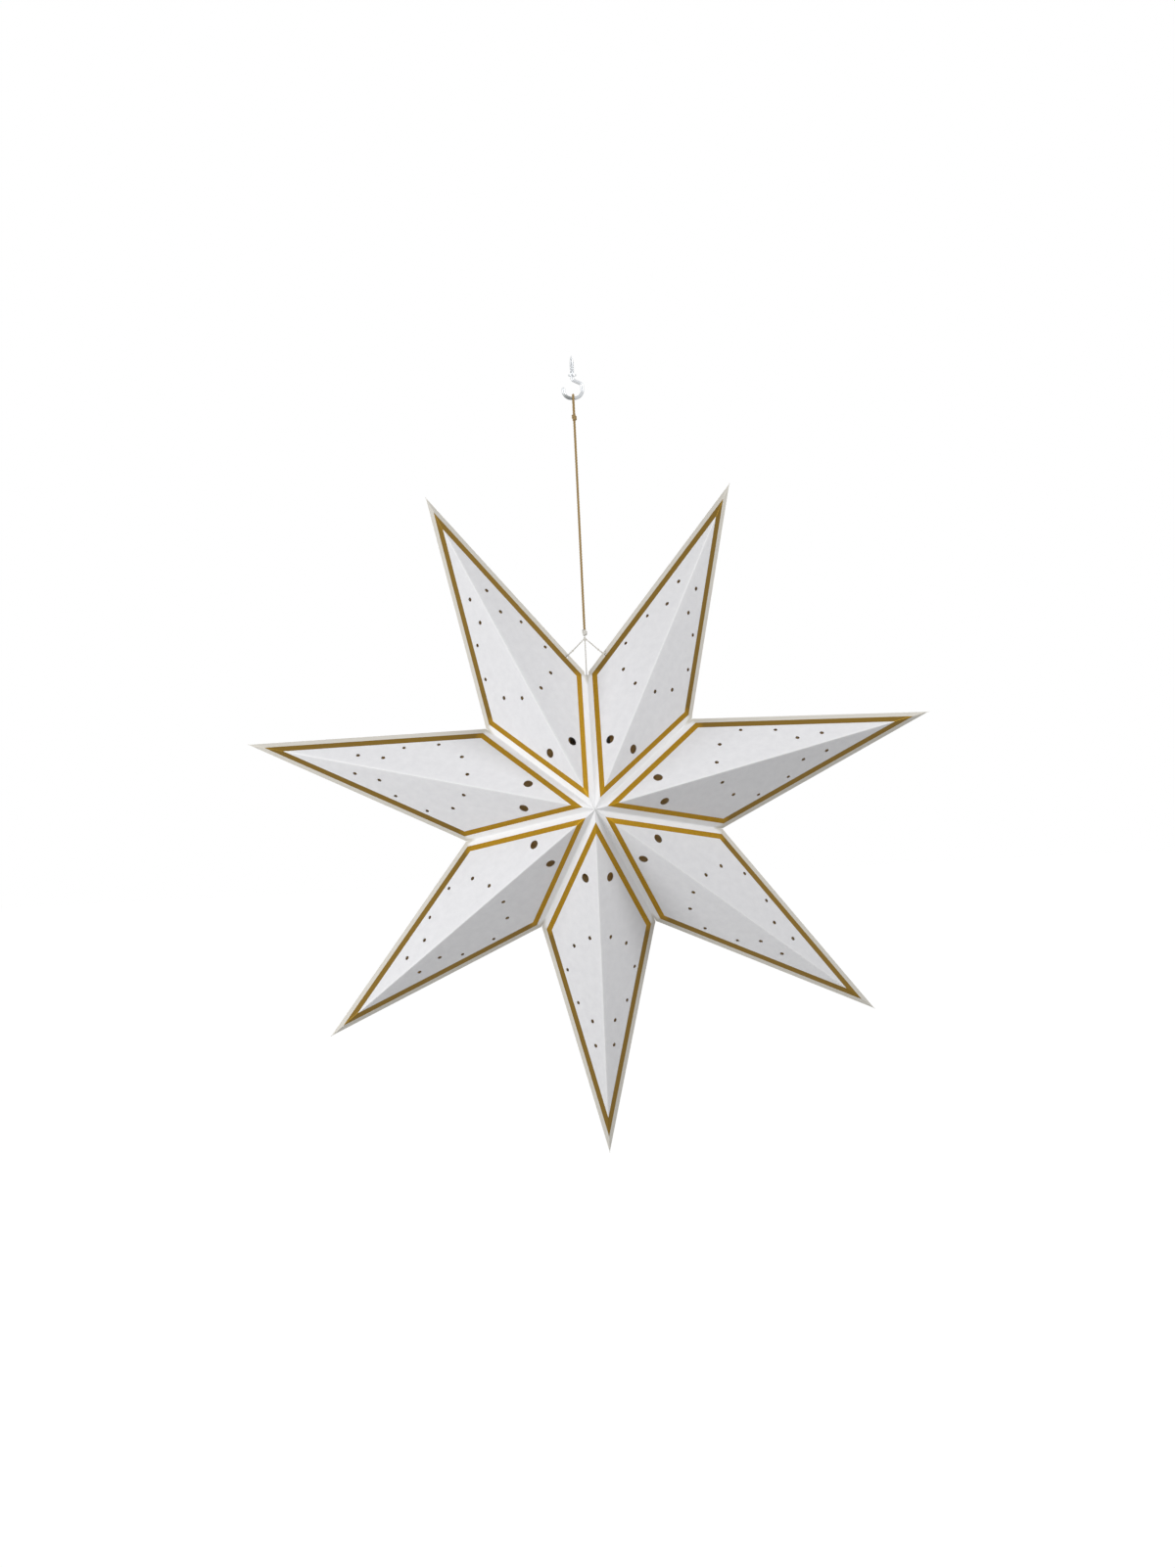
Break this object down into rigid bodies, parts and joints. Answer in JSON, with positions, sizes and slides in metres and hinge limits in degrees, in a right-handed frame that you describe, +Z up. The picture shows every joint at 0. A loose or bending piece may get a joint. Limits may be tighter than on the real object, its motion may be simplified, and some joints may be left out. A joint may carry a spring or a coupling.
{
  "type": "led christmas star",
  "caption": "Hanging folded-card star with ridged pointed arms, punched light holes and gold borders, on a cord and ceiling hook, with a battery LED lamp inside.",
  "frame": {"origin": "centre of the hook's shank at the ceiling, on the collar's top face", "axes": "+Z up along the shank, star's front faces -Y, +X to the right as seen from the front"},
  "size_m": [0.5844, 0.1593, 0.6837],
  "materials": {
    "card": "white card with a soft sheen and gold foil border lines",
    "hook_steel": "zinc-plated wire",
    "cord": "twisted pale gold cord",
    "thread": "twisted white thread",
    "case_plastic": "moulded white ABS",
    "switch_plastic": "black acetal",
    "cell": "plain wrapped cell",
    "contact_steel": "nickel-plated sheet",
    "board": "white solder mask",
    "led_resin": "warm white LED resin",
    "diffuser": "frosted polypropylene"
  },
  "bodies": {
    "ceiling_hook": {"ceiling_hook": "hook_steel"},
    "hanging_loop": {"hanging_loop": "cord"},
    "hanging_cord": {"hanging_cord": "cord", "cord_knot": "cord"},
    "star_seam_panel": {"arm_1_front_left": "card", "tie_thread_right": "thread", "bridle_knot": "thread", "lamp_thread": "thread", "battery_case": "case_plastic", "battery_cell_1": "cell", "battery_cell_2": "cell", "contact_plate_bridge": "contact_steel", "contact_plates_terminal": "contact_steel", "lamp_collar": "case_plastic", "led_board": "board", "leds": "led_resin", "board_screws": "contact_steel", "diffuser_dome": "diffuser"},
    "arm_1_front_right": {"arm_1_front_right": "card"},
    "arm_1_back_left": {"arm_1_back_left": "card"},
    "arm_1_back_right": {"arm_1_back_right": "card"},
    "arm_2_front_left": {"arm_2_front_left": "card"},
    "arm_2_front_right": {"arm_2_front_right": "card"},
    "arm_2_back_left": {"arm_2_back_left": "card"},
    "arm_2_back_right": {"arm_2_back_right": "card"},
    "arm_3_front_left": {"arm_3_front_left": "card"},
    "arm_3_front_right": {"arm_3_front_right": "card"},
    "arm_3_back_left": {"arm_3_back_left": "card"},
    "arm_3_back_right": {"arm_3_back_right": "card"},
    "arm_4_front_left": {"arm_4_front_left": "card"},
    "arm_4_front_right": {"arm_4_front_right": "card"},
    "arm_4_back_left": {"arm_4_back_left": "card"},
    "arm_4_back_right": {"arm_4_back_right": "card"},
    "arm_5_front_left": {"arm_5_front_left": "card"},
    "arm_5_front_right": {"arm_5_front_right": "card"},
    "arm_5_back_left": {"arm_5_back_left": "card"},
    "arm_5_back_right": {"arm_5_back_right": "card"},
    "arm_6_front_left": {"arm_6_front_left": "card"},
    "arm_6_front_right": {"arm_6_front_right": "card"},
    "arm_6_back_left": {"arm_6_back_left": "card"},
    "arm_6_back_right": {"arm_6_back_right": "card"},
    "arm_7_front_left": {"arm_7_front_left": "card"},
    "arm_7_front_right": {"arm_7_front_right": "card", "tie_thread_left": "thread"},
    "arm_7_back_left": {"arm_7_back_left": "card"},
    "arm_7_back_right": {"arm_7_back_right": "card"},
    "battery_cover": {"battery_cover": "case_plastic"},
    "slide_switch": {"slide_switch": "switch_plastic"}
  },
  "joints": [
    {"name": "loop_swing", "type": "hinge", "parent": "ceiling_hook", "child": "hanging_loop", "pos_m": [0, 0, -0.02], "axis": [1, 0, 0], "range_deg": [-30, 30]},
    {"name": "cord_swing", "type": "hinge", "parent": "hanging_loop", "child": "hanging_cord", "pos_m": [0, 0, -0.04126], "axis": [0, 1, 0], "range_deg": [-30, 30]},
    {"name": "star_spin", "type": "hinge", "parent": "hanging_cord", "child": "star_seam_panel", "pos_m": [0, 0, -0.223], "axis": [0, 0, 1], "continuous": true},
    {"name": "star_fold", "type": "hinge", "parent": "star_seam_panel", "child": "arm_1_front_right", "pos_m": [0, -0.08, -0.368], "axis": [0.4192, 0.2577, 0.8705], "range_deg": [0, 32]},
    {"name": "edge_1_left", "type": "hinge", "parent": "star_seam_panel", "child": "arm_1_back_left", "pos_m": [0, 0, -0.255], "axis": [0.6375, 0, 0.7704], "range_deg": [0, 31.68]},
    {"name": "edge_1_right", "type": "hinge", "parent": "arm_1_front_right", "child": "arm_1_back_right", "pos_m": [0.08835, 0, -0.29755], "axis": [-0.2048, 0, -0.9788], "range_deg": [0, 31.68]},
    {"name": "valley_1", "type": "hinge", "parent": "arm_1_front_right", "child": "arm_2_front_left", "pos_m": [0, -0.08, -0.368], "axis": [-0.6381, -0.5778, -0.5089], "range_deg": [0, 33.92]},
    {"name": "ridge_2", "type": "hinge", "parent": "arm_2_front_left", "child": "arm_2_front_right", "pos_m": [0, -0.08, -0.368], "axis": [0.942, 0.2577, 0.215], "range_deg": [0, 32]},
    {"name": "edge_2_left", "type": "hinge", "parent": "arm_2_front_left", "child": "arm_2_back_left", "pos_m": [0.08835, 0, -0.29755], "axis": [0.9998, 0, -0.0181], "range_deg": [0, 31.68]},
    {"name": "edge_2_right", "type": "hinge", "parent": "arm_2_front_right", "child": "arm_2_back_right", "pos_m": [0.11017, 0, -0.39315], "axis": [-0.893, 0, -0.4501], "range_deg": [0, 31.68]},
    {"name": "valley_2", "type": "hinge", "parent": "arm_2_front_right", "child": "arm_3_front_left", "pos_m": [0, -0.08, -0.368], "axis": [-0.7957, -0.5778, 0.1816], "range_deg": [0, 33.92]},
    {"name": "ridge_3", "type": "hinge", "parent": "arm_3_front_left", "child": "arm_3_front_right", "pos_m": [0, -0.08, -0.368], "axis": [0.7554, 0.2577, -0.6024], "range_deg": [0, 32]},
    {"name": "edge_3_left", "type": "hinge", "parent": "arm_3_front_left", "child": "arm_3_back_left", "pos_m": [0.11017, 0, -0.39315], "axis": [0.6092, 0, -0.793], "range_deg": [0, 31.68]},
    {"name": "edge_3_right", "type": "hinge", "parent": "arm_3_front_right", "child": "arm_3_back_right", "pos_m": [0.04903, 0, -0.46981], "axis": [-0.9087, 0, 0.4175], "range_deg": [0, 31.68]},
    {"name": "valley_3", "type": "hinge", "parent": "arm_3_front_right", "child": "arm_4_front_left", "pos_m": [0, -0.08, -0.368], "axis": [-0.3541, -0.5778, 0.7353], "range_deg": [0, 33.92]},
    {"name": "ridge_4", "type": "hinge", "parent": "arm_4_front_left", "child": "arm_4_front_right", "pos_m": [0, -0.08, -0.368], "axis": [0, 0.2577, -0.9662], "range_deg": [0, 32]},
    {"name": "edge_4_left", "type": "hinge", "parent": "arm_4_front_left", "child": "arm_4_back_left", "pos_m": [0.04903, 0, -0.46981], "axis": [-0.2401, 0, -0.9707], "range_deg": [0, 31.68]},
    {"name": "edge_4_right", "type": "hinge", "parent": "arm_4_front_right", "child": "arm_4_back_right", "pos_m": [-0.04903, 0, -0.46981], "axis": [-0.2401, 0, 0.9707], "range_deg": [0, 31.68]},
    {"name": "valley_4", "type": "hinge", "parent": "arm_4_front_right", "child": "arm_5_front_left", "pos_m": [0, -0.08, -0.368], "axis": [0.3541, -0.5778, 0.7353], "range_deg": [0, 33.92]},
    {"name": "ridge_5", "type": "hinge", "parent": "arm_5_front_left", "child": "arm_5_front_right", "pos_m": [0, -0.08, -0.368], "axis": [-0.7554, 0.2577, -0.6024], "range_deg": [0, 32]},
    {"name": "edge_5_left", "type": "hinge", "parent": "arm_5_front_left", "child": "arm_5_back_left", "pos_m": [-0.04903, 0, -0.46981], "axis": [-0.9087, 0, -0.4175], "range_deg": [0, 31.68]},
    {"name": "edge_5_right", "type": "hinge", "parent": "arm_5_front_right", "child": "arm_5_back_right", "pos_m": [-0.11017, 0, -0.39315], "axis": [0.6092, 0, 0.793], "range_deg": [0, 31.68]},
    {"name": "valley_5", "type": "hinge", "parent": "arm_5_front_right", "child": "arm_6_front_left", "pos_m": [0, -0.08, -0.368], "axis": [0.7957, -0.5778, 0.1816], "range_deg": [0, 33.92]},
    {"name": "ridge_6", "type": "hinge", "parent": "arm_6_front_left", "child": "arm_6_front_right", "pos_m": [0, -0.08, -0.368], "axis": [-0.942, 0.2577, 0.215], "range_deg": [0, 32]},
    {"name": "edge_6_left", "type": "hinge", "parent": "arm_6_front_left", "child": "arm_6_back_left", "pos_m": [-0.11017, 0, -0.39315], "axis": [-0.893, 0, 0.4501], "range_deg": [0, 31.68]},
    {"name": "edge_6_right", "type": "hinge", "parent": "arm_6_front_right", "child": "arm_6_back_right", "pos_m": [-0.08835, 0, -0.29755], "axis": [0.9998, 0, 0.0181], "range_deg": [0, 31.68]},
    {"name": "valley_6", "type": "hinge", "parent": "arm_6_front_right", "child": "arm_7_front_left", "pos_m": [0, -0.08, -0.368], "axis": [0.6381, -0.5778, -0.5089], "range_deg": [0, 33.92]},
    {"name": "ridge_7", "type": "hinge", "parent": "arm_7_front_left", "child": "arm_7_front_right", "pos_m": [0, -0.08, -0.368], "axis": [-0.4192, 0.2577, 0.8705], "range_deg": [0, 32]},
    {"name": "edge_7_left", "type": "hinge", "parent": "arm_7_front_left", "child": "arm_7_back_left", "pos_m": [-0.08835, 0, -0.29755], "axis": [-0.2048, 0, 0.9788], "range_deg": [0, 31.68]},
    {"name": "edge_7_right", "type": "hinge", "parent": "arm_7_front_right", "child": "arm_7_back_right", "pos_m": [0, 0, -0.255], "axis": [0.6375, 0, -0.7704], "range_deg": [0, 31.68]},
    {"name": "cover_slide", "type": "slide", "parent": "star_seam_panel", "child": "battery_cover", "axis": [0, 0, 1], "range_m": [0, 0.03]},
    {"name": "switch_slide", "type": "slide", "parent": "star_seam_panel", "child": "slide_switch", "axis": [1, 0, 0], "range_m": [-0.0025, 0.0025]}
  ],
  "couplings": [
    {"joint": "edge_1_left", "follows": "star_fold", "ratio": 0.99},
    {"joint": "edge_1_right", "follows": "star_fold", "ratio": 0.99},
    {"joint": "valley_1", "follows": "star_fold", "ratio": 1.06},
    {"joint": "ridge_2", "follows": "star_fold", "ratio": 1},
    {"joint": "edge_2_left", "follows": "star_fold", "ratio": 0.99},
    {"joint": "edge_2_right", "follows": "star_fold", "ratio": 0.99},
    {"joint": "valley_2", "follows": "star_fold", "ratio": 1.06},
    {"joint": "ridge_3", "follows": "star_fold", "ratio": 1},
    {"joint": "edge_3_left", "follows": "star_fold", "ratio": 0.99},
    {"joint": "edge_3_right", "follows": "star_fold", "ratio": 0.99},
    {"joint": "valley_3", "follows": "star_fold", "ratio": 1.06},
    {"joint": "ridge_4", "follows": "star_fold", "ratio": 1},
    {"joint": "edge_4_left", "follows": "star_fold", "ratio": 0.99},
    {"joint": "edge_4_right", "follows": "star_fold", "ratio": 0.99},
    {"joint": "valley_4", "follows": "star_fold", "ratio": 1.06},
    {"joint": "ridge_5", "follows": "star_fold", "ratio": 1},
    {"joint": "edge_5_left", "follows": "star_fold", "ratio": 0.99},
    {"joint": "edge_5_right", "follows": "star_fold", "ratio": 0.99},
    {"joint": "valley_5", "follows": "star_fold", "ratio": 1.06},
    {"joint": "ridge_6", "follows": "star_fold", "ratio": 1},
    {"joint": "edge_6_left", "follows": "star_fold", "ratio": 0.99},
    {"joint": "edge_6_right", "follows": "star_fold", "ratio": 0.99},
    {"joint": "valley_6", "follows": "star_fold", "ratio": 1.06},
    {"joint": "ridge_7", "follows": "star_fold", "ratio": 1},
    {"joint": "edge_7_left", "follows": "star_fold", "ratio": 0.99},
    {"joint": "edge_7_right", "follows": "star_fold", "ratio": 0.99}
  ]
}
